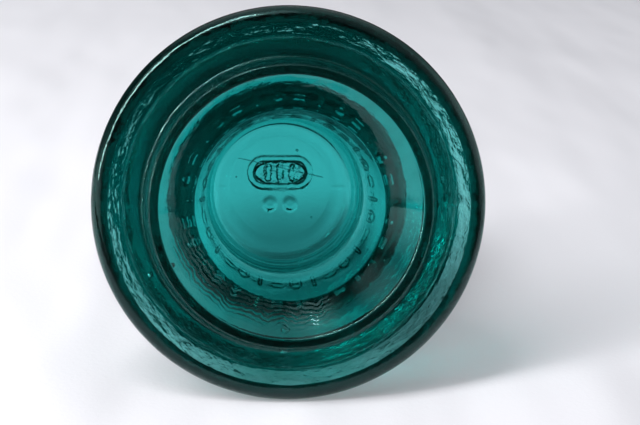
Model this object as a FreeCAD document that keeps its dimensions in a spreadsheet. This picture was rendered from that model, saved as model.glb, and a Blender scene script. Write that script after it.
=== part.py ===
import FreeCAD, Part
import math
import os
import Sketcher

# A squat pin insulator of pressed glass, crown up, standing on the lip of its petticoat.
# The origin is on the axis, in the plane of that lip, and +Z points to the crown.
# Sizes are millimetres. Heights are above the lip, and radii are from the axis.
SIZES = {
    # crown and wire groove
    "overall_height": 68.9,
    "crown_radius": 28.9,
    "crown_round": 15.8,
    "groove_height": 40.3,
    "groove_opening": 10.2,
    "groove_floor_width": 6.2,
    "groove_depth": 4.1,
    "groove_floor_round": 2.4,
    "groove_lip_round": 1.4,
    # shoulder, flare and skirt rim
    "shoulder_step": 0.8,
    "shoulder_round": 2.1,
    "shoulder_base_radius": 31.3,
    "shoulder_base_height": 25.6,
    "shoulder_base_round": 10.8,
    "flare_radius": 37.8,
    "flare_height": 18.5,
    "flare_round": 9.6,
    "skirt_radius": 41.25,
    "skirt_edge_height": 10.8,
    "skirt_edge_round": 1.2,
    "rim_height": 5.9,
    "rim_width": 3.65,
    "rim_outer_round": 3.1,
    "rim_inner_round": 0.45,
    # channel between skirt and petticoat
    "channel_height": 9.6,
    "channel_outer_radius": 34.9,
    "channel_outer_round": 1.7,
    "channel_inner_radius": 30.0,
    "channel_inner_round": 1.75,
    # petticoat lip and bell
    "lip_outer_radius": 28.9,
    "lip_outer_round": 0.5,
    "lip_inner_radius": 27.0,
    "lip_inner_round": 1.0,
    "throat_spread": 1.965,
    "throat_height": 7.1,
    "throat_round": 2.9,
    "bell_top_height": 18.2,
    "bell_top_round": 10.8,
    # pin socket
    "pin_diameter": 34.93,
    "pin_clearance": 0.32,
    "end_step_length": 5.1,
    "step_round": 0.25,
    "step_narrowing": 0.735,
    "end_recess_length": 6.5,
    "end_narrowing": 1.485,
    "end_height": 53.4,
    "end_round": 1.4,
    # ring of raised marks on the shoulder
    "mark_count": 10,
    "mark_height": 31.0,
    "mark_relief": 0.5,
    "mark_sink": 0.8,
    "bar_length": 4.6,
    "bar_width": 0.9,
    "bead_radius": 1.9,
    "bead_band": 0.8,
    "rung_length": 2.8,
    "rung_width": 0.8,
    "rung_spacing": 2.4,
    # raised marks on the crown
    "crown_ring_radius": 13.1,
    "crown_ring_width": 0.35,
    "crown_ring_relief": 0.2,
    "oval_length": 16.4,
    "oval_breadth": 8.4,
    "oval_band": 1.5,
    "oval_offset": 3.7,
    "oval_relief": 0.7,
    "oval_bar_width": 1.1,
    "oval_bar_spacing": 3.0,
    "dot_radius": 1.5,
    "dot_spacing": 5.0,
    "dot_offset": 4.1,
}

doc = FreeCAD.newDocument("pin_insulator")
sheet = doc.addObject("Spreadsheet::Sheet", "sizes")
for row, (alias, value) in enumerate(SIZES.items(), start=1):
    sheet.set(f"A{row}", alias)
    sheet.set(f"B{row}", str(value))
    sheet.setAlias(f"B{row}", alias)
doc.recompute()


def bound(text):
    """The expression with each size's alias pointing at the sheet."""
    spaced = text.replace("(", "( ").replace(")", " )").split()
    return " ".join(f"sizes.{word}" if word in SIZES else word for word in spaced)


def value_of(text):
    """The number that an expression in sizes stands for now."""
    result = sheet.evalExpression(bound(text))
    return float(getattr(result, "Value", result))


def origin_part(body, role):
    """The body's own origin plane or axis with that role."""
    return next(f for f in body.Origin.OriginFeatures if f.Role == role)


def sketch_on(body, name, role, lift=None):
    """A sketch flat on one of the body's origin planes, or lifted off it by an expression."""
    sketch = body.newObject("Sketcher::SketchObject", name)
    sketch.AttachmentSupport = [(origin_part(body, role), "")]
    sketch.MapMode = "FlatFace"
    if lift:
        sketch.setExpression("AttachmentOffset.Base.z", bound(lift))
    return sketch


def set_place(sketch, geometry, point, out, up):
    """Binds a point's distance across and up from the sketch's origin to expressions."""
    for kind, text in (("DistanceX", out), ("DistanceY", up)):
        constraint = Sketcher.Constraint(kind, -1, 1, geometry, point, value_of(text))
        index = sketch.addConstraint(constraint)
        sketch.setExpression(f"Constraints[{index}]", bound(text))


def set_radius(sketch, geometry, text):
    """Binds a circle's or arc's radius to an expression."""
    index = sketch.addConstraint(Sketcher.Constraint("Radius", geometry, value_of(text)))
    sketch.setExpression(f"Constraints[{index}]", bound(text))


def draw_corners(sketch, corners):
    """A closed outline of straight lines through corners, each two expressions."""
    points = [FreeCAD.Vector(value_of(out), value_of(up), 0) for out, up in corners]
    count = len(points)
    lines = []
    for start, end in zip(points, points[1:] + points[:1]):
        lines.append(sketch.addGeometry(Part.LineSegment(start, end), False))
    for i, line in enumerate(lines):
        following = lines[(i + 1) % count]
        sketch.addConstraint(Sketcher.Constraint("Coincident", line, 2, following, 1))
        set_place(sketch, line, 1, *corners[i])


def draw_rectangle(sketch, width, height, out="0", up="0"):
    """A rectangle centred on a place given by expressions."""
    left, right = f"{out} - ( {width} ) / 2", f"{out} + ( {width} ) / 2"
    low, high = f"{up} - ( {height} ) / 2", f"{up} + ( {height} ) / 2"
    draw_corners(sketch, [(left, low), (right, low), (right, high), (left, high)])


def draw_circle(sketch, radius, out="0", up="0"):
    """A circle centred on a place given by expressions."""
    centre = FreeCAD.Vector(value_of(out), value_of(up), 0)
    circle = Part.Circle(centre, FreeCAD.Vector(0, 0, 1), value_of(radius))
    index = sketch.addGeometry(circle, False)
    set_place(sketch, index, 3, out, up)
    set_radius(sketch, index, radius)


def draw_oval(sketch, length, breadth, up):
    """Two half circles joined by level lines, centred across the sketch."""
    straight = f"( {length} - ( {breadth} ) ) / 2"
    radius = f"( {breadth} ) / 2"
    run, rise, round_end = value_of(straight), value_of(up), value_of(radius)
    ends = []
    for side in (1, -1):
        centre = FreeCAD.Vector(side * run, rise, 0)
        circle = Part.Circle(centre, FreeCAD.Vector(0, 0, 1), round_end)
        start = -side * math.pi / 2
        arc = sketch.addGeometry(Part.ArcOfCircle(circle, start, start + math.pi), False)
        set_place(sketch, arc, 3, straight if side > 0 else f"0 - {straight}", up)
        set_radius(sketch, arc, radius)
        for point in (1, 2):
            sketch.addConstraint(Sketcher.Constraint("Vertical", arc, 3, arc, point))
        ends.append(arc)
    right, left = ends
    for first, second, level in ((right, left, round_end), (left, right, -round_end)):
        start = FreeCAD.Vector(run if first == right else -run, rise + level, 0)
        end = FreeCAD.Vector(-start.x, rise + level, 0)
        line = sketch.addGeometry(Part.LineSegment(start, end), False)
        sketch.addConstraint(Sketcher.Constraint("Coincident", first, 2, line, 1))
        sketch.addConstraint(Sketcher.Constraint("Coincident", line, 2, second, 1))


def round_edge(body, base, name, out, up, radius):
    """Rounds the circular edge at that distance from the axis and that height."""
    doc.recompute()
    want_out, want_up = value_of(out), value_of(up)

    def miss(edge):
        point = edge.valueAt(edge.FirstParameter)
        return math.hypot(math.hypot(point.x, point.y) - want_out, point.z - want_up)

    edges = base.Shape.Edges
    circles = [i for i, edge in enumerate(edges) if isinstance(edge.Curve, Part.Circle)]
    nearest = min(circles, key=lambda i: miss(edges[i]))
    fillet = body.newObject("PartDesign::Fillet", name)
    fillet.Base = (base, [f"Edge{nearest + 1}"])
    fillet.setExpression("Radius", bound(radius))
    return fillet


def pad_sketch(body, sketch, name, length):
    """Pads a sketch along its normal by an expression's length."""
    pad = body.newObject("PartDesign::Pad", name)
    pad.Profile = sketch
    pad.setExpression("Length", bound(length))
    return pad


# The socket takes the pin with this much room; the throat and the end steps follow it.
BORE = "pin_diameter / 2 + pin_clearance"

# The section, from the middle of the crown down the outside, round the petticoat and up
# the bell to the end of the socket. A corner is its name, radius, height and rounding.
SECTION = [
    ("crown_middle", "0", "overall_height", None),
    ("crown_edge", "crown_radius", "overall_height", "crown_round"),
    ("groove_top", "crown_radius", "groove_height + groove_opening / 2", "groove_lip_round"),
    (
        "groove_ceiling",
        "crown_radius - groove_depth",
        "groove_height + groove_floor_width / 2",
        "groove_floor_round",
    ),
    (
        "groove_floor",
        "crown_radius - groove_depth",
        "groove_height - groove_floor_width / 2",
        "groove_floor_round",
    ),
    (
        "shoulder_top",
        "crown_radius + shoulder_step",
        "groove_height - groove_opening / 2",
        "shoulder_round",
    ),
    ("shoulder_base", "shoulder_base_radius", "shoulder_base_height", "shoulder_base_round"),
    ("flare", "flare_radius", "flare_height", "flare_round"),
    ("skirt_edge", "skirt_radius", "skirt_edge_height", "skirt_edge_round"),
    ("rim_outer", "skirt_radius", "rim_height", "rim_outer_round"),
    ("rim_inner", "skirt_radius - rim_width", "rim_height", "rim_inner_round"),
    ("channel_outer", "channel_outer_radius", "channel_height", "channel_outer_round"),
    ("channel_inner", "channel_inner_radius", "channel_height", "channel_inner_round"),
    ("lip_outer", "lip_outer_radius", "0", "lip_outer_round"),
    ("lip_inner", "lip_inner_radius", "0", "lip_inner_round"),
    ("throat", BORE + " + throat_spread", "throat_height", "throat_round"),
    ("bell_top", BORE, "bell_top_height", "bell_top_round"),
    (
        "socket_shoulder",
        BORE,
        "end_height - end_recess_length - end_step_length",
        "step_round",
    ),
    (
        "step_base",
        BORE + " - step_narrowing",
        "end_height - end_recess_length - end_step_length",
        "step_round",
    ),
    ("step_top", BORE + " - step_narrowing", "end_height - end_recess_length", "step_round"),
    ("end_base", BORE + " - end_narrowing", "end_height - end_recess_length", "step_round"),
    ("end_edge", BORE + " - end_narrowing", "end_height", "end_round"),
    ("socket_end", "0", "end_height", None),
]

body = doc.addObject("PartDesign::Body", "glass_body")
body.Label = "glass_body"

section = sketch_on(body, "section", "XZ_Plane")
draw_corners(section, [(out, up) for _, out, up, _ in SECTION])
glass = body.newObject("PartDesign::Revolution", "pressed_glass")
glass.Profile = section
glass.ReferenceAxis = (section, ["V_Axis"])
glass.Angle = 360
for corner, out, up, radius in SECTION:
    if radius:
        glass = round_edge(body, glass, f"round_{corner}", out, up, radius)

# The marks stand on the shoulder's cone, which runs from under the groove to the flare.
SHOULDER_TOP_RADIUS = "( crown_radius + shoulder_step )"
SHOULDER_TOP_HEIGHT = "( groove_height - groove_opening / 2 )"
SHOULDER_LEAN = (
    f"atan( ( shoulder_base_radius - {SHOULDER_TOP_RADIUS} )"
    f" / ( {SHOULDER_TOP_HEIGHT} - shoulder_base_height ) )"
)
MARK_RADIUS = (
    f"( {SHOULDER_TOP_RADIUS} + ( {SHOULDER_TOP_HEIGHT} - mark_height )"
    f" * tan( {SHOULDER_LEAN} ) )"
)


def sketch_on_shoulder(name, place):
    """A sketch just under the shoulder's face, at the given third of a mark's pitch."""
    sketch = sketch_on(body, name, "YZ_Plane")
    turn = f"{place} * 360 / ( 3 * mark_count )"
    sunk_out = f"{MARK_RADIUS} - mark_sink * cos( {SHOULDER_LEAN} )"
    sunk_up = f"mark_height - mark_sink * sin( {SHOULDER_LEAN} )"
    spin = "create(<<placement>>; create(<<vector>>; 0; 0; 0);"
    spin += f" create(<<rotation>>; create(<<vector>>; 0; 1; 0); {bound(turn)}))"
    lean = f"create(<<placement>>; create(<<vector>>; 0; {bound(sunk_up)}; {bound(sunk_out)});"
    lean += f" create(<<rotation>>; create(<<vector>>; -1; 0; 0); {bound(SHOULDER_LEAN)}))"
    sketch.setExpression("AttachmentOffset", f"{spin} * {lean}")
    return sketch


def mark_ring(sketch, name):
    """Pads a mark out of the shoulder and repeats it all the way round."""
    pad = pad_sketch(body, sketch, name, "mark_relief + mark_sink")
    pattern = body.newObject("PartDesign::PolarPattern", f"{name}_ring")
    pattern.Originals = [pad]
    pattern.Axis = (origin_part(body, "Z_Axis"), [""])
    pattern.Angle = 360
    pattern.setExpression("Occurrences", bound("mark_count"))
    body.Tip = pattern


bar = sketch_on_shoulder("bar", 0)
draw_rectangle(bar, "bar_width", "bar_length")
mark_ring(bar, "bar_mark")

bead = sketch_on_shoulder("bead", 1)
draw_circle(bead, "bead_radius")
draw_circle(bead, "bead_radius - bead_band")
mark_ring(bead, "bead_mark")

rungs = sketch_on_shoulder("rungs", 2)
draw_rectangle(rungs, "rung_length", "rung_width", up="rung_spacing / 2")
draw_rectangle(rungs, "rung_length", "rung_width", up="0 - rung_spacing / 2")
mark_ring(rungs, "rung_mark")

# The thin ring left by the mould's round insert, and the plain figures that it presses.
crown_ring = sketch_on(body, "crown_ring", "XY_Plane", "overall_height - mark_sink")
draw_circle(crown_ring, "crown_ring_radius + crown_ring_width / 2")
draw_circle(crown_ring, "crown_ring_radius - crown_ring_width / 2")
pad_sketch(body, crown_ring, "insert_ring", "crown_ring_relief + mark_sink")

figures = sketch_on(body, "figures", "XY_Plane", "overall_height - mark_sink")
draw_oval(figures, "oval_length", "oval_breadth", "0 - oval_offset")
draw_oval(
    figures,
    "oval_length - 2 * oval_band",
    "oval_breadth - 2 * oval_band",
    "0 - oval_offset",
)
for step in (-1, 0, 1):
    draw_rectangle(
        figures,
        "oval_bar_width",
        "oval_breadth - 3 * oval_band",
        out=f"{step} * oval_bar_spacing",
        up="0 - oval_offset",
    )
for side in (-1, 1):
    draw_circle(figures, "dot_radius", out=f"{side} * dot_spacing / 2", up="dot_offset")
pad_sketch(body, figures, "crown_figures", "oval_relief + mark_sink")

doc.recompute()
for item in doc.Objects:
    if "Invalid" in item.State or "Error" in item.State:
        raise RuntimeError(f"{item.Label} did not build: {item.getStatusString()}")
if body.Shape.isNull() or not body.Shape.isValid():
    raise RuntimeError("the glass is not a valid solid")

os.makedirs("parts", exist_ok=True)
body.Shape.exportStep(f"parts/{body.Label}.step")
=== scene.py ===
import math

import bmesh
import bpy
from mathutils import Matrix, Vector


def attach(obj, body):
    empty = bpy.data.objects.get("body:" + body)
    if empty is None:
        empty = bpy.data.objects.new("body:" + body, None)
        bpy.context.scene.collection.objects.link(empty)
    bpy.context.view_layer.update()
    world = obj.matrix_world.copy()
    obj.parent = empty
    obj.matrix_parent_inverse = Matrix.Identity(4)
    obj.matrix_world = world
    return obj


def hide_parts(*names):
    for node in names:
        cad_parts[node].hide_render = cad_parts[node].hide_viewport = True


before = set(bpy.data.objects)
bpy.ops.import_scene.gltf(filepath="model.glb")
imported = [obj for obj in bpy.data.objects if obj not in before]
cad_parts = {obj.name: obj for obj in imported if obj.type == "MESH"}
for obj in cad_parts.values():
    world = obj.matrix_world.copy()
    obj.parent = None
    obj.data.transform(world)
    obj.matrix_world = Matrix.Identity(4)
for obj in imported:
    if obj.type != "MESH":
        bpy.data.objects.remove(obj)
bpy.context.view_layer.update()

# ---------------------------------------------------------------- the section of the glass
# The insulator is one piece of blue-green glass, pressed between a two-part mould and a
# plunger. Its section is turned about the axis, crown up, and stands on its petticoat's lip.
# Sizes are metres: distances from the axis, and heights above the lip.
MM = 0.001
overall_height = 68.9 * MM
crown_radius = 28.9 * MM
crown_round = 15.8 * MM
groove_height = 40.3 * MM
groove_opening = 10.2 * MM
groove_floor_width = 6.2 * MM
groove_depth = 4.1 * MM
groove_floor_round = 2.4 * MM
groove_lip_round = 1.4 * MM
shoulder_step = 0.8 * MM
shoulder_round = 2.1 * MM
shoulder_base_radius = 31.3 * MM
shoulder_base_height = 25.6 * MM
shoulder_base_round = 10.8 * MM
flare_radius = 37.8 * MM
flare_height = 18.5 * MM
flare_round = 9.6 * MM
skirt_radius = 41.25 * MM
skirt_edge_height = 10.8 * MM
skirt_edge_round = 1.2 * MM
rim_height = 5.9 * MM
rim_width = 3.65 * MM
rim_outer_round = 3.1 * MM
rim_inner_round = 0.45 * MM
channel_height = 9.6 * MM
channel_outer_radius = 34.9 * MM
channel_outer_round = 1.7 * MM
channel_inner_radius = 30.0 * MM
channel_inner_round = 1.75 * MM
lip_outer_radius = 28.9 * MM
lip_outer_round = 0.5 * MM
lip_inner_radius = 27.0 * MM
lip_inner_round = 1.0 * MM
throat_radius = 19.75 * MM
throat_height = 7.1 * MM
throat_round = 2.9 * MM
socket_radius = 17.785 * MM
bell_top_height = 18.2 * MM
bell_top_round = 10.8 * MM
socket_shoulder_height = 41.8 * MM
step_round = 0.25 * MM
end_step_radius = 17.05 * MM
end_step_height = 46.9 * MM
end_radius = 16.3 * MM
end_height = 53.4 * MM
end_round = 1.4 * MM

# Each corner: distance out, height, rounding, and how far apart the points after it may be.
coarse, middling, fine = 2.2 * MM, 0.9 * MM, 0.36 * MM
corners = [
    (0.0, overall_height, 0.0, fine),
    (crown_radius, overall_height, crown_round, middling),
    (crown_radius, groove_height + groove_opening / 2, groove_lip_round, middling),
    (crown_radius - groove_depth, groove_height + groove_floor_width / 2, groove_floor_round, middling),
    (crown_radius - groove_depth, groove_height - groove_floor_width / 2, groove_floor_round, middling),
    (crown_radius + shoulder_step, groove_height - groove_opening / 2, shoulder_round, fine),
    (shoulder_base_radius, shoulder_base_height, shoulder_base_round, middling),
    (flare_radius, flare_height, flare_round, middling),
    (skirt_radius, skirt_edge_height, skirt_edge_round, middling),
    (skirt_radius, rim_height, rim_outer_round, middling),
    (skirt_radius - rim_width, rim_height, rim_inner_round, middling),
    (channel_outer_radius, channel_height, channel_outer_round, middling),
    (channel_inner_radius, channel_height, channel_inner_round, middling),
    (lip_outer_radius, 0.0, lip_outer_round, middling),
    (lip_inner_radius, 0.0, lip_inner_round, middling),
    (throat_radius, throat_height, throat_round, middling),
    (socket_radius, bell_top_height, bell_top_round, coarse),
    (socket_radius, socket_shoulder_height, step_round, coarse),
    (end_step_radius, socket_shoulder_height, step_round, coarse),
    (end_step_radius, end_step_height, step_round, coarse),
    (end_radius, end_step_height, step_round, coarse),
    (end_radius, end_height, end_round, coarse),
    (0.0, end_height, 0.0, coarse),
]


def rounded_section(corners, arc_turn):
    """The section's points, with every corner drawn out as an arc."""
    points = [Vector(corners[0][:2])]
    for before, here, after in zip(corners, corners[1:], corners[2:]):
        corner = Vector(here[:2])
        back = (Vector(before[:2]) - corner).normalized()
        onward = (Vector(after[:2]) - corner).normalized()
        opening = back.angle(onward)
        reach = here[2] / math.tan(opening / 2)
        centre = corner + (back + onward).normalized() * here[2] / math.sin(opening / 2)
        start, end = corner + back * reach - centre, corner + onward * reach - centre
        turn = start.angle_signed(end)
        steps = max(3, math.ceil(abs(turn) / arc_turn))
        runs = max(1, math.ceil((centre + start - points[-1]).length / before[3]))
        last = points[-1]
        points += [last.lerp(centre + start, i / runs) for i in range(1, runs)]
        points += [centre + Matrix.Rotation(-turn * i / steps, 2) @ start for i in range(steps + 1)]
    last, end = points[-1], Vector(corners[-1][:2])
    runs = math.ceil((end - last).length / corners[-2][3])
    return points + [last.lerp(end, i / runs) for i in range(1, runs + 1)]


section = rounded_section(corners, math.radians(7.5))

# ---------------------------------------------------------------- the turned glass
# The section goes round the axis in rings of points. The rings where the shoulder's marks
# stand have three times as many, so that the pressed strokes come out clean.
mark_height = 31.0 * MM
mark_band = 3.6 * MM
ring_points = 248
shoulder_out = crown_radius + shoulder_step
shoulder_up = groove_height - groove_opening / 2


def ring_size(point):
    """How many points the ring at a place on the section has."""
    if point.x < 1e-7:
        return 1
    outside = point.x > crown_radius - groove_depth
    marked = outside and abs(point.y - mark_height) < mark_band
    return ring_points * 3 if marked else ring_points


vertices, faces, rings = [], [], []
for point in section:
    size = ring_size(point)
    rings.append(range(len(vertices), len(vertices) + size))
    for i in range(size):
        around = 2 * math.pi * i / size
        vertices.append((point.x * math.cos(around), point.x * math.sin(around), point.y))
for upper, lower in zip(rings, rings[1:]):
    many = max(len(upper), len(lower))
    few = min(len(upper), len(lower))
    for i in range(many if few == 1 or few == many else few):
        if len(upper) == 1:
            faces.append((upper[0], lower[i], lower[(i + 1) % many]))
        elif len(lower) == 1:
            faces.append((upper[i], lower[0], upper[(i + 1) % many]))
        elif few == many:
            faces.append((upper[i], lower[i], lower[(i + 1) % many], upper[(i + 1) % many]))
        elif len(upper) == few:
            a, b, c, d = (lower[(3 * i + j) % many] for j in range(4))
            here, beside = upper[i], upper[(i + 1) % few]
            faces += [(here, a, b), (here, b, c, beside), (beside, c, d)]
        else:
            a, b, c, d = (upper[(3 * i + j) % many] for j in range(4))
            here, beside = lower[i], lower[(i + 1) % few]
            faces += [(a, here, b), (b, here, beside, c), (c, beside, d)]
turned = bpy.data.meshes.new("turned_glass")
turned.from_pydata(vertices, [], faces)
turned.update()
blank = bpy.data.objects.new("turned_blank", turned)
bpy.context.scene.collection.objects.link(blank)

# ---------------------------------------------------------------- the clear blue-green glass
# Soda-lime glass coloured by iron. It is fire-polished, so it shines, but the cool mould
# left chill ripples and streaks that run round it, and a fine crease crosses the crown.
glass = bpy.data.materials.new("blue_green_glass")
glass.use_nodes = True
paint = glass.node_tree
shader = paint.nodes["Principled BSDF"]
shader.inputs["Transmission Weight"].default_value = 1.0
shader.inputs["IOR"].default_value = 1.52
absorb = paint.nodes.new("ShaderNodeVolumeAbsorption")
red_loss, green_loss, blue_loss = 222.0, 50.0, 53.0
absorb.inputs["Density"].default_value = red_loss
absorb.inputs["Color"].default_value = (0.0, 1 - green_loss / red_loss, 1 - blue_loss / red_loss, 1.0)
paint.links.new(absorb.outputs[0], paint.nodes["Material Output"].inputs["Volume"])


def add_node(tree, kind, operation=None, **values):
    """A node of a material; values name its sockets, or give their order as _0, _1."""
    made = tree.nodes.new(kind)
    if operation:
        made.operation = operation
    for name, value in values.items():
        socket = made.inputs[int(name[1:])] if name[1:].isdigit() else made.inputs[name.replace("_", " ")]
        if isinstance(value, bpy.types.NodeSocket):
            tree.links.new(value, socket)
        else:
            socket.default_value = value
    return made


def ramp(tree, value, low, high, start=0.0, end=1.0, run="SMOOTHSTEP"):
    """A value's ramp from start to end, between low and high, in any tree."""
    made = add_node(
        tree, "ShaderNodeMapRange", Value=value, From_Min=low, From_Max=high, To_Min=start, To_Max=end,
    )
    made.interpolation_type = run
    return made.outputs[0]


def paint_node(kind, operation=None, **values):
    """A node of the glass's material."""
    return add_node(paint, kind, operation, **values)


def paint_math(operation, first, second=0.0, third=0.0):
    """One sum in the glass's material."""
    return paint_node("ShaderNodeMath", operation, _0=first, _1=second, _2=third).outputs[0]


def paint_step(value, low, high, start=0.0, end=1.0):
    """A smooth step of a value from start to end, between low and high."""
    return ramp(paint, value, low, high, start, end)


def colour_mix(tree, share, first, second):
    """Two colours mixed by a share, in any tree."""
    made = add_node(tree, "ShaderNodeMix", _0=share)
    made.data_type = "RGBA"
    for place_in, colour in ((6, first), (7, second)):
        if isinstance(colour, bpy.types.NodeSocket):
            tree.links.new(colour, made.inputs[place_in])
        else:
            made.inputs[place_in].default_value = colour
    return made.outputs[2]


place = paint_node("ShaderNodeTexCoord").outputs["Object"]
split = paint_node("ShaderNodeSeparateXYZ", Vector=place)
x, y, z = split.outputs
flat = paint_node("ShaderNodeCombineXYZ", X=x, Y=y).outputs[0]
out = paint_node("ShaderNodeVectorMath", "LENGTH", _0=flat).outputs["Value"]
around = paint_node("ShaderNodeVectorMath", "NORMALIZE", _0=flat).outputs[0]


def round_noise(across, along, detail, distortion=0.0):
    """Noise in streaks that run round the axis: scales are per metre and per turn."""
    spokes = paint_node("ShaderNodeVectorMath", "SCALE", _0=around, Scale=along).outputs[0]
    lift = paint_node("ShaderNodeCombineXYZ", Z=paint_math("MULTIPLY", out, across)).outputs[0]
    where = paint_node("ShaderNodeVectorMath", "ADD", _0=spokes, _1=lift).outputs[0]
    made = paint.nodes.new("ShaderNodeTexNoise")
    made.noise_dimensions = "4D"
    paint.links.new(where, made.inputs["Vector"])
    paint.links.new(paint_math("MULTIPLY", z, across), made.inputs["W"])
    made.inputs["Scale"].default_value = 1.0
    made.inputs["Detail"].default_value = detail
    made.inputs["Distortion"].default_value = distortion
    return made.outputs[0]


# Heights below are millimetres of relief.
skirt = paint_step(out, 25 * MM, 29 * MM)
streak_height = paint_math("MULTIPLY_ADD", skirt, 0.15, 0.03)
streaks = paint_math("MULTIPLY", round_noise(260.0, 5.0, 4.0, 0.6), streak_height)
grain = paint_node("ShaderNodeTexNoise", Vector=place, Scale=420.0, Detail=3.0, Roughness=0.55)
peel = paint_math("MULTIPLY", grain.outputs[0], paint_math("MULTIPLY_ADD", skirt, 0.06, 0.010))
# The bell's wall has a patch of close ripples on one side.
side = paint_node("ShaderNodeVectorMath", "DOT_PRODUCT", _0=around, _1=(-0.45, 0.89, 0.0)).outputs["Value"]
past_socket = paint_step(out, 18.6 * MM, 20 * MM)
in_bell = paint_math("MULTIPLY", past_socket, paint_step(out, 25 * MM, 26.2 * MM, 1.0, 0.0))
low_down = paint_math("MULTIPLY", in_bell, paint_step(z, 9 * MM, 11 * MM, 1.0, 0.0))
patch = paint_math("MULTIPLY", paint_step(side, 0.45, 0.95), low_down)
drift = paint_math("MULTIPLY", round_noise(90.0, 6.0, 2.0), 4.2)
ripple_pitch = 0.85
phase = paint_math("MULTIPLY", paint_math("MULTIPLY_ADD", out, 1 / MM, drift), 2 * math.pi / ripple_pitch)
wave = paint_math("SINE", phase)
ripples = paint_math("MULTIPLY", wave, paint_math("MULTIPLY", patch, 0.016))
relief = paint_math("ADD", paint_math("ADD", streaks, peel), ripples)
# The crease: how far a point is from a line across the crown, fading out past its ends.
crease_start, crease_way, crease_length = Vector((-11.5, -7.6, 0.0)), Vector((0.975, 0.222, 0.0)), 23.5
crease_side = Vector((-crease_way.y, crease_way.x, 0.0))
along = paint_node("ShaderNodeVectorMath", "DOT_PRODUCT", _0=place, _1=crease_way * 1000).outputs["Value"]
off = paint_node("ShaderNodeVectorMath", "DOT_PRODUCT", _0=place, _1=crease_side * 1000).outputs["Value"]
off = paint_math("ABSOLUTE", paint_math("SUBTRACT", off, crease_start.dot(crease_side)))
run = paint_math("SUBTRACT", along, crease_start.dot(crease_way))
crease = paint_math("MULTIPLY", paint_step(off, 0.03, 0.16, 1.0, 0.0), paint_step(run, 0.0, 2.0))
crease = paint_math("MULTIPLY", crease, paint_step(run, crease_length - 1, crease_length, 1.0, 0.0))
crease = paint_math("MULTIPLY", crease, paint_step(z, overall_height - 2 * MM, overall_height - 1 * MM))
relief = paint_math("MULTIPLY_ADD", crease, -0.09, relief)
# The crown inside its oval frame is coarsely cut.
oval_offset = 3.7 * MM
cut_half_length, cut_half_breadth, cut_height = 6.6 * MM, 3.0 * MM, 1.5
from_middle = paint_node(
    "ShaderNodeVectorMath", "MULTIPLY_ADD", _0=flat,
    _1=(1 / cut_half_length, 1 / cut_half_breadth, 0.0), _2=(0.0, oval_offset / cut_half_breadth, 0.0),
).outputs[0]
from_middle = paint_node("ShaderNodeVectorMath", "LENGTH", _0=from_middle).outputs["Value"]
on_top = paint_step(z, overall_height - 2 * MM, overall_height - 1 * MM)
in_oval = paint_math("MULTIPLY", paint_step(from_middle, 0.9, 1.05, 1.0, 0.0), on_top)
cuts = paint_node("ShaderNodeTexNoise", Vector=place, Scale=620.0, Detail=1.5)
relief = paint_math("MULTIPLY_ADD", cuts.outputs[0], paint_math("MULTIPLY", in_oval, cut_height), relief)
bump = paint_node("ShaderNodeBump", Height=relief, Strength=1.0)
bump.inputs["Distance"].default_value = MM
paint.links.new(bump.outputs[0], shader.inputs["Normal"])
# A thin film of dust and handling dulls the glass a little, most of all under the skirt.
film = paint_math("MULTIPLY_ADD", skirt, 0.6, 0.25)
dull = paint_math("MULTIPLY", round_noise(170.0, 7.0, 5.0, 0.4), film)
clean_colour = (1.0, 1.0, 1.0, 1.0)
film_colour = (0.66, 0.80, 0.76, 1.0)
# The dark green of the painted shade on the rim.
rim_shade_colour = (0.08, 0.38, 0.30, 1.0)
tint = colour_mix(paint, paint_step(dull, 0.28, 0.62), clean_colour, film_colour)
# Painted shade along the skirt's rim: low down, the glass's colour is mixed towards a dark green that keeps
# most of the light out, so that the rim looks dark.
at_rim = paint_step(out, 38.2 * MM, 39.2 * MM)
painted_rim_shade = paint_math("MULTIPLY", at_rim, paint_step(z, 9 * MM, 12 * MM, 1.0, 0.0))
paint.links.new(colour_mix(paint, painted_rim_shade, tint, rim_shade_colour), shader.inputs["Base Color"])
# Reflections are tinted, to keep the rim as dark and green as such glass looks on a cloth.
shader.inputs["Specular Tint"].default_value = (0.45, 0.86, 0.84, 1.0)
paint.links.new(paint_step(dull, 0.2, 0.7, 0.0, 0.05), shader.inputs["Roughness"])

# ---------------------------------------------------------------- marks, insert ring and seams
# The mould pressed a ring of plain raised marks round the shoulder, and on the crown a thin
# ring where its round insert fitted, an oval frame with three bars, and two dots. Its two
# halves left a low seam up each side. All are one skin with the glass.
mark_count, mark_relief, mark_stroke = 10, 0.62 * MM, 0.50 * MM
bar_length, bead_radius = 4.6 * MM, 1.5 * MM
rung_length, rung_spacing = 2.8 * MM, 2.4 * MM
crown_ring_radius, crown_ring_relief, crown_ring_stroke = 13.1 * MM, 0.2 * MM, 0.17 * MM
oval_length, oval_breadth = 14.9 * MM, 6.9 * MM
oval_relief, oval_stroke = 0.7 * MM, 0.7 * MM
oval_bar_length, oval_bar_spacing = 3.0 * MM, 3.0 * MM
dot_spacing, dot_offset, dot_size = 5.0 * MM, 4.1 * MM, 1.4 * MM
seam_relief, seam_width = 0.12 * MM, 0.5 * MM
waviness = 0.10 * MM

shoulder_spread = shoulder_base_radius - shoulder_out
shoulder_drop = shoulder_up - shoulder_base_height

press = bpy.data.node_groups.new("pressed_marks", "GeometryNodeTree")
socket_ids = {}


def press_input(name, kind):
    """A named input of the marks' tree."""
    made = press.interface.new_socket(name, in_out="INPUT", socket_type=kind)
    socket_ids[name] = made.identifier


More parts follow.
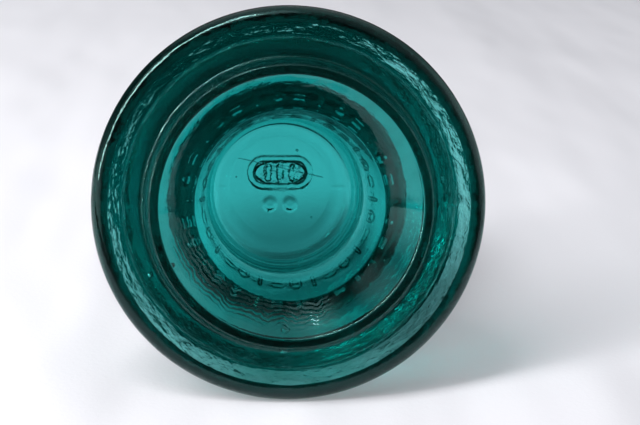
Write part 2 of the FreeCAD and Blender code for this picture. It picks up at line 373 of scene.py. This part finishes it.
press_input("Glass", "NodeSocketGeometry")
press.interface.new_socket("Pressed", in_out="OUTPUT", socket_type="NodeSocketGeometry")
press_sizes = {
    "Mark height": mark_height,
    "Mark circle": shoulder_out + (shoulder_up - mark_height) * shoulder_spread / shoulder_drop,
    "Shoulder lean": math.atan2(shoulder_spread, shoulder_drop),
    "Mark relief": mark_relief,
    "Mark stroke": mark_stroke,
    "Bar length": bar_length,
    "Bead radius": bead_radius,
    "Rung length": rung_length,
    "Rung spacing": rung_spacing,
    "Crown height": overall_height,
    "Crown ring radius": crown_ring_radius,
    "Crown ring relief": crown_ring_relief,
    "Crown ring stroke": crown_ring_stroke,
    "Oval length": oval_length,
    "Oval breadth": oval_breadth,
    "Oval offset": oval_offset,
    "Oval relief": oval_relief,
    "Oval stroke": oval_stroke,
    "Oval bar length": oval_bar_length,
    "Oval bar spacing": oval_bar_spacing,
    "Dot spacing": dot_spacing,
    "Dot offset": dot_offset,
    "Dot size": dot_size,
    "Seam relief": seam_relief,
    "Seam width": seam_width,
    "Waviness": waviness,
}
press_input("Mark count", "NodeSocketInt")
for name in press_sizes:
    press_input(name, "NodeSocketFloat")
press_input("Finish", "NodeSocketMaterial")
given = press.nodes.new("NodeGroupInput").outputs


def press_node(kind, settings=(), **values):
    """A node of the marks' tree; values name its sockets, or give their order as _0, _1."""
    made = press.nodes.new(kind)
    for name, value in dict(settings).items():
        setattr(made, name, value)
    for name, value in values.items():
        socket = made.inputs[int(name[1:])] if name[1:].isdigit() else made.inputs[name.replace("_", " ")]
        if isinstance(value, bpy.types.NodeSocket):
            press.links.new(value, socket)
        else:
            socket.default_value = value
    return made


def press_math(operation, first, second=0.0, third=0.0):
    """One sum in the marks' tree."""
    return press_node("ShaderNodeMath", {"operation": operation}, _0=first, _1=second, _2=third).outputs[0]


def minus(value):
    """A size turned round."""
    return press_math("MULTIPLY", value, -1.0)


def spot(x=0.0, y=0.0, z=0.0):
    """A point from its three parts."""
    return press_node("ShaderNodeCombineXYZ", X=x, Y=y, Z=z).outputs[0]


def stroke_line(start, end):
    """A straight stroke."""
    return press_node("GeometryNodeCurvePrimitiveLine", Start=start, End=end).outputs[0]


def stroke_circle(radius, points):
    """A round stroke."""
    return press_node("GeometryNodeCurvePrimitiveCircle", Resolution=points, Radius=radius).outputs[0]


def together(parts):
    """Several strokes as one."""
    joined = press.nodes.new("GeometryNodeJoinGeometry")
    for part in parts:
        press.links.new(part, joined.inputs[0])
    return joined.outputs[0]


def moved(part, where):
    """A stroke moved to a place."""
    return press_node("GeometryNodeTransform", Geometry=part, Translation=where).outputs[0]


def raised(geometry, strokes, relief, stroke, soft):
    """The glass with its skin lifted along the strokes, with soft sides."""
    wires = press_node("GeometryNodeCurveToMesh", Curve=strokes).outputs[0]
    near = press_node("GeometryNodeProximity", {"target_element": "EDGES"}, _0=wires)
    lift = press_node(
        "ShaderNodeMapRange", {"interpolation_type": "SMOOTHSTEP"}, Value=near.outputs["Distance"],
    )
    press.links.new(press_math("MULTIPLY", stroke, 1 - soft), lift.inputs["From Min"])
    press.links.new(press_math("MULTIPLY", stroke, 1 + soft), lift.inputs["From Max"])
    press.links.new(relief, lift.inputs["To Min"])
    lift.inputs["To Max"].default_value = 0.0
    return offset_skin(geometry, lift.outputs[0])


def offset_skin(geometry, amount):
    """The glass with its skin moved out along its own normal."""
    normal = press_node("GeometryNodeInputNormal").outputs[0]
    step = press_node("ShaderNodeVectorMath", {"operation": "SCALE"}, Vector=normal, Scale=amount)
    return press_node("GeometryNodeSetPosition", Geometry=geometry, Offset=step.outputs[0]).outputs[0]


# The surface wanders by a tenth of a millimetre, always inwards, as pressed glass does.
skin = given["Glass"]
wander = press_node("ShaderNodeTexNoise", {"noise_dimensions": "3D"}, Scale=70.0, Detail=1.5).outputs[0]
skin = offset_skin(skin, press_math("MULTIPLY", press_math("MULTIPLY", wander, given["Waviness"]), -1.0))

# Shoulder marks: a bar, a bead and two rungs, in turn round the ring.
half_bar = press_math("MULTIPLY", given["Bar length"], 0.5)
half_rung = press_math("MULTIPLY", given["Rung length"], 0.5)
half_gap = press_math("MULTIPLY", given["Rung spacing"], 0.5)
shapes = [
    stroke_line(spot(y=minus(half_bar)), spot(y=half_bar)),
    stroke_circle(given["Bead radius"], 28),
    together([
        stroke_line(spot(minus(half_rung), half_gap), spot(half_rung, half_gap)),
        stroke_line(spot(minus(half_rung), minus(half_gap)), spot(half_rung, minus(half_gap))),
    ]),
]
counted = press_node("GeometryNodeInputIndex").outputs[0]
marks = []
for third, shape in enumerate(shapes):
    share = press_math("DIVIDE", press_math("ADD", counted, third / len(shapes)), given["Mark count"])
    bearing = press_math("MULTIPLY", share, 2 * math.pi)
    here = spot(
        press_math("MULTIPLY", press_math("COSINE", bearing), given["Mark circle"]),
        press_math("MULTIPLY", press_math("SINE", bearing), given["Mark circle"]),
        given["Mark height"],
    )
    seats = press_node("GeometryNodePoints", Count=given["Mark count"], Position=here).outputs[0]
    tilt = spot(
        press_math("SUBTRACT", math.pi / 2, given["Shoulder lean"]),
        0.0,
        press_math("ADD", bearing, math.pi / 2),
    )
    facing = press_node("FunctionNodeEulerToRotation", _0=tilt).outputs[0]
    copies = press_node("GeometryNodeInstanceOnPoints", Points=seats, Instance=shape, Rotation=facing)
    marks.append(press_node("GeometryNodeRealizeInstances", Geometry=copies.outputs[0]).outputs[0])
skin = raised(skin, together(marks), given["Mark relief"], given["Mark stroke"], 0.45)

# Crown: the insert's ring, then the oval frame, its bars and the dots.
crown = spot(z=given["Crown height"])
ring = moved(stroke_circle(given["Crown ring radius"], 200), crown)
skin = raised(skin, ring, given["Crown ring relief"], given["Crown ring stroke"], 0.8)
across = press_math("MULTIPLY", given["Oval length"], 0.5)
deep = press_math("MULTIPLY", given["Oval breadth"], 0.5)
reach = press_math("SUBTRACT", across, deep)
oval_parts = []
for way in (1, -1):
    edge = press_math("MULTIPLY", deep, way)
    oval_parts.append(stroke_line(spot(minus(reach), edge), spot(reach, edge)))
    turned_arc = press_node(
        "GeometryNodeCurveArc", Resolution=24, Radius=deep,
        Start_Angle=-way * math.pi / 2, Sweep_Angle=math.pi,
    ).outputs[0]
    oval_parts.append(moved(turned_arc, spot(press_math("MULTIPLY", reach, way))))
half_inner = press_math("MULTIPLY", given["Oval bar length"], 0.5)
for place_in_oval in (-1, 0, 1):
    bar_at = press_math("MULTIPLY", given["Oval bar spacing"], place_in_oval)
    oval_parts.append(stroke_line(spot(bar_at, minus(half_inner)), spot(bar_at, half_inner)))
oval_at = spot(0.0, minus(given["Oval offset"]), given["Crown height"])
skin = raised(skin, moved(together(oval_parts), oval_at), given["Oval relief"], given["Oval stroke"], 0.5)
half_dots = press_math("MULTIPLY", given["Dot spacing"], 0.5)
dots = []
for way in (1, -1):
    dot_at = spot(press_math("MULTIPLY", half_dots, way), given["Dot offset"], given["Crown height"])
    dots.append(moved(stroke_circle(0.0001, 8), dot_at))
skin = raised(skin, together(dots), given["Oval relief"], given["Dot size"], 0.5)

# Seams: a low ridge up each side of the outside, from the rim to the insert's ring.
where = press_node("ShaderNodeSeparateXYZ", Vector=press_node("GeometryNodeInputPosition").outputs[0])
far = press_node(
    "ShaderNodeVectorMath", {"operation": "LENGTH"}, Vector=spot(where.outputs[0], where.outputs[1]),
).outputs["Value"]
outwards = spot(where.outputs[0], where.outputs[1], press_math("MULTIPLY", where.outputs[2], 0.35))
facing_out = press_node(
    "ShaderNodeVectorMath", {"operation": "DOT_PRODUCT"},
    _0=press_node("GeometryNodeInputNormal").outputs[0], _1=outwards,
).outputs["Value"]
past_ring = press_math("GREATER_THAN", far, given["Crown ring radius"])
outer = press_math("MULTIPLY", press_math("GREATER_THAN", facing_out, 0.0), past_ring)
above_rim = press_math("GREATER_THAN", where.outputs[2], rim_height + rim_outer_round)
high_enough = press_math("MULTIPLY", above_rim, press_math("GREATER_THAN", far, 19.5 * MM))
on_crown = press_math("MULTIPLY", press_math("GREATER_THAN", where.outputs[2], end_height + 4 * MM), outer)
keep = press_math("MAXIMUM", press_math("MULTIPLY", outer, high_enough), on_crown)
from_seam = press_math("ABSOLUTE", where.outputs[1])
ridge = press_node("ShaderNodeMapRange", {"interpolation_type": "SMOOTHSTEP"}, Value=from_seam)
press.links.new(given["Seam width"], ridge.inputs["From Max"])
press.links.new(given["Seam relief"], ridge.inputs["To Min"])
ridge.inputs["To Max"].default_value = 0.0
# Nothing may stand past the skirt's own width.
inside = press_math("LESS_THAN", far, skirt_radius - 0.6 * MM)
skin = offset_skin(skin, press_math("MULTIPLY", press_math("MULTIPLY", ridge.outputs[0], keep), inside))

skin = press_node("GeometryNodeRealizeInstances", Geometry=skin).outputs[0]
skin = press_node("GeometryNodeSetShadeSmooth", _0=skin).outputs[0]
skin = press_node("GeometryNodeSetMaterial", Geometry=skin, Material=given["Finish"]).outputs[0]
pressed_out = press.nodes.new("NodeGroupOutput")
press.links.new(skin, pressed_out.inputs[0])

pressing = blank.modifiers.new("pressing", "NODES")
pressing.node_group = press
for name, size in press_sizes.items():
    pressing[socket_ids[name]] = size
pressing[socket_ids["Mark count"]] = mark_count
pressing[socket_ids["Finish"]] = glass
bpy.context.view_layer.update()
ready = blank.evaluated_get(bpy.context.evaluated_depsgraph_get())
pressed = bpy.data.meshes.new_from_object(ready)
bpy.data.objects.remove(blank)
pressed.name = "glass_skin"

# ---------------------------------------------------------------- bubbles in the glass
# Air caught in the gob stays as small, slightly drawn-out bubbles. Each is a hollow in the
# glass, so its skin faces into it.
bubbles = [  # place in millimetres, radius, how far drawn out
    ((-1.0, 31.6, 17.0), 0.95, 1.3),
    ((-29.4, 15.4, 17.5), 0.55, 1.2),
    ((-11.0, -3.0, 60.0), 0.22, 1.0),
    ((4.0, -9.5, 61.5), 0.34, 1.2),
    ((-3.2, 5.4, 58.5), 0.26, 1.0),
    ((7.5, 7.0, 59.5), 0.24, 1.1),
    ((25.5, 15.5, 23.0), 0.30, 1.4),
    ((-22.0, -17.0, 26.0), 0.28, 1.3),
    ((20.0, -22.0, 30.0), 0.25, 1.4),
]
shell = bmesh.new()
shell.from_mesh(pressed)
for middle, radius, drawn in bubbles:
    at = Vector(middle) * MM
    turn = Matrix.Rotation(math.atan2(at.y, at.x), 4, "Z")
    shape = Matrix.Translation(at) @ turn @ Matrix.Diagonal((1.0, drawn, 1.0, 1.0))
    made = bmesh.ops.create_icosphere(shell, subdivisions=3, radius=radius * MM, matrix=shape)
    skin_of_bubble = {face for corner in made["verts"] for face in corner.link_faces}
    bmesh.ops.reverse_faces(shell, faces=list(skin_of_bubble))
    for face in skin_of_bubble:
        face.smooth = True
shell.to_mesh(pressed)
shell.free()
pressed.update()

body = bpy.data.objects.new("glass", pressed)
bpy.context.scene.collection.objects.link(body)
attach(body, "root")
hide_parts("glass_body")

# ---------------------------------------------------------------- floor
# A plain pale cloth. The insulator lies on its side on it, touching with its rim and crown,
# so in this frame the cloth stands up behind it. It is seen from its front only.
cloth_slope = 1.056
rim_rest = skirt_edge_height - 3 * MM
crown_rest = overall_height - crown_round * 0.8
lean = (skirt_radius - crown_radius) / (crown_rest - rim_rest) * cloth_slope
near_end, far_end, half_width = -0.6, 1.02, 2.0
cloth_mesh = bpy.data.meshes.new("pale_cloth")
strip = []
for end, sides in ((near_end, (-1, 1)), (far_end, (1, -1))):
    for way in sides:
        back = skirt_radius - (end - rim_rest) * lean + 0.3 * MM
        strip.append((way * half_width, back, end))
cloth_mesh.from_pydata(strip, [], [(0, 1, 2, 3)])
cloth_mesh.update()
floor = bpy.data.objects.new("pale_cloth", cloth_mesh)
bpy.context.scene.collection.objects.link(floor)
cloth = bpy.data.materials.new("white_cotton")
cloth.use_nodes = True
weave = cloth.node_tree
weave.nodes.clear()


def weave_math(operation, first, second=0.0, third=0.0):
    """One sum in the cloth's material."""
    return add_node(weave, "ShaderNodeMath", operation, _0=first, _1=second, _2=third).outputs[0]


cloth_place = add_node(weave, "ShaderNodeTexCoord").outputs["Object"]
cloth_x, _, cloth_z = add_node(weave, "ShaderNodeSeparateXYZ", Vector=cloth_place).outputs
# The cloth glows with painted fill light, which falls off away from the camera and towards one side.
fade_back = ramp(weave, cloth_z, -50 * MM, 500 * MM, 0.20, 0.18, "LINEAR")
fade_side = ramp(weave, cloth_x, -100 * MM, 120 * MM, 1.25, 0.70, "LINEAR")
# Painted shade on the cloth's glow and colour: a painted shadow close behind the crown, and painted shade in
# front, under the camera.
on_plan = add_node(weave, "ShaderNodeVectorMath", "MULTIPLY", _0=cloth_place, _1=(1.0, 0.0, 1.0)).outputs[0]
behind_crown = (10 * MM, 0.0, 88 * MM)
from_crown = add_node(weave, "ShaderNodeVectorMath", "DISTANCE", _0=on_plan, _1=behind_crown).outputs["Value"]
crown_shade = ramp(weave, from_crown, 12 * MM, 66 * MM, 0.40, 1.0)
camera_shade = ramp(weave, cloth_z, -90 * MM, -15 * MM, 0.15, 1.0)
painted_shade = weave_math("MULTIPLY", crown_shade, camera_shade)
painted_fill = weave_math("MULTIPLY", weave_math("MULTIPLY", fade_back, fade_side), painted_shade)
# The cloth's glow: painted fill light.
glow = add_node(weave, "ShaderNodeEmission", Color=(0.97, 0.965, 1.0, 1.0), Strength=painted_fill)
# The cloth's pale colour, darkened by the same painted shade.
cotton = colour_mix(weave, painted_shade, (0.0, 0.0, 0.0, 1.0), (0.66, 0.655, 0.69, 1.0))
# Faint broad folds and the weave's grain.
fold_stretch, fold_scale, thread_scale, thread_share = (1.0, 1.0, 0.3), 17.0, 900.0, 0.004
stretched = add_node(weave, "ShaderNodeVectorMath", "MULTIPLY", _0=cloth_place, _1=fold_stretch).outputs[0]
folds = add_node(weave, "ShaderNodeTexNoise", Vector=stretched, Scale=fold_scale, Detail=2.0).outputs[0]
threads = add_node(weave, "ShaderNodeTexNoise", Vector=cloth_place, Scale=thread_scale).outputs[0]
cloth_relief = weave_math("MULTIPLY_ADD", threads, thread_share, folds)
cloth_bump = add_node(weave, "ShaderNodeBump", Distance=12 * MM, Height=cloth_relief).outputs[0]
matt = add_node(weave, "ShaderNodeBsdfDiffuse", Color=cotton, Normal=cloth_bump)
lit = add_node(weave, "ShaderNodeAddShader", _0=matt.outputs[0], _1=glow.outputs[0])
from_back = add_node(weave, "ShaderNodeNewGeometry").outputs["Backfacing"]
see_through = add_node(weave, "ShaderNodeBsdfTransparent")
one_sided = add_node(weave, "ShaderNodeMixShader", _0=from_back, _1=lit.outputs[0], _2=see_through.outputs[0])
add_node(weave, "ShaderNodeOutputMaterial", Surface=one_sided.outputs[0])
cloth_mesh.materials.append(cloth)

# ---------------------------------------------------------------- soft studio light
# Dim pale surroundings with broad soft panels in them. Each panel: its bearing from +X
# towards -Y, its height towards -Z, its half width, its soft edge, and its brightness.
surroundings = 0.05
panels = [
    (101.5, 27.7, 21.5, 0.16, 2.00),
    (88.3, -16.0, 45.7, 0.25, 0.55),
    (200.0, 18.2, 44.0, 0.25, 1.40),
    (140.0, 26.0, 22.0, 0.20, 1.30),
    (45.0, 25.0, 40.0, 0.20, 0.36),
    (10.0, -4.0, 46.0, 0.50, 0.85),
    (185.0, 0.0, 38.0, 0.50, 0.25),
]
world = bpy.data.worlds.new("studio")
bpy.context.scene.world = world
world.use_nodes = True
air = world.node_tree
light = air.nodes["Background"]
light.inputs["Color"].default_value = (0.95, 0.97, 1.0, 1.0)


def towards(bearing, height):
    """The direction at a bearing from +X towards -Y and a height towards -Z, in degrees."""
    bearing, height = math.radians(bearing), math.radians(height)
    return Vector((
        math.cos(bearing) * math.cos(height),
        -math.sin(bearing) * math.cos(height),
        -math.sin(height),
    ))


direction = add_node(air, "ShaderNodeTexCoord").outputs["Generated"]
total = add_node(air, "ShaderNodeValue").outputs[0]
total.default_value = surroundings
for bearing, height, half_angle, soft, bright in panels:
    facing = add_node(air, "ShaderNodeVectorMath", "DOT_PRODUCT", _0=direction, _1=towards(bearing, height))
    edge = math.cos(math.radians(half_angle))
    panel = ramp(air, facing.outputs["Value"], edge, min(1.0, edge + soft), 0.0, bright)
    total = add_node(air, "ShaderNodeMath", "ADD", _0=total, _1=panel).outputs[0]
air.links.new(total, light.inputs["Strength"])

# A long narrow softbox on one side of the camera draws the thin line on the rim, and gives
# the soft shadow on the other side.
softbox_bearing, softbox_height, softbox_distance = 138.0, 28.0, 0.60
softbox = bpy.data.objects.new("softbox", bpy.data.lights.new("softbox", "AREA"))
softbox.data.shape = "RECTANGLE"
softbox.data.size, softbox.data.size_y = 0.85, 0.10
softbox.data.energy = 5.0
softbox_aim = towards(softbox_bearing, softbox_height)
long_way = Vector((-softbox_aim.y, softbox_aim.x, 0.0)).normalized()
short_way = softbox_aim.cross(long_way)
softbox_turn = Matrix((long_way, short_way, softbox_aim)).transposed().to_4x4()
softbox.matrix_world = Matrix.Translation(softbox_aim * softbox_distance) @ softbox_turn
bpy.context.scene.collection.objects.link(softbox)

# ---------------------------------------------------------------- camera
# It looks up into the bell, a few degrees off the axis, with the skirt filling most of the
# frame's height. The shares below are of the frame's width.
view_angle, view_distance = math.radians(5.43), 259.0 * MM
view_side = Vector((-0.507, -0.862))
skirt_share, aside, above = 0.3088, -0.0467, 0.0125
camera = bpy.data.objects.new("camera", bpy.data.cameras.new("camera"))
bpy.context.scene.collection.objects.link(camera)
bpy.context.scene.camera = camera
widest = Vector((0.0, 0.0, rim_height + rim_outer_round))
camera.data.sensor_width = 36.0
camera.data.lens = skirt_share * camera.data.sensor_width * (view_distance + widest.z) / skirt_radius
camera.data.clip_start = 0.01
stand = Vector((
    view_side.x * math.sin(view_angle) * view_distance,
    view_side.y * math.sin(view_angle) * view_distance,
    -math.cos(view_angle) * view_distance,
))
upright = Matrix(((1, 0, 0), (0, -1, 0), (0, 0, -1)))
widths = camera.data.sensor_width / camera.data.lens
wanted = Vector((aside * widths, above * widths, -1.0)).normalized()
seen = upright.transposed() @ (widest - stand).normalized()
camera_turn = upright @ wanted.rotation_difference(seen).to_matrix()
camera.matrix_world = Matrix.Translation(stand) @ camera_turn.to_4x4()
bpy.context.scene.view_settings.view_transform = "Standard"
bpy.context.scene.cycles.max_bounces = 16
bpy.context.scene.cycles.transmission_bounces = 16
bpy.context.scene.cycles.glossy_bounces = 10
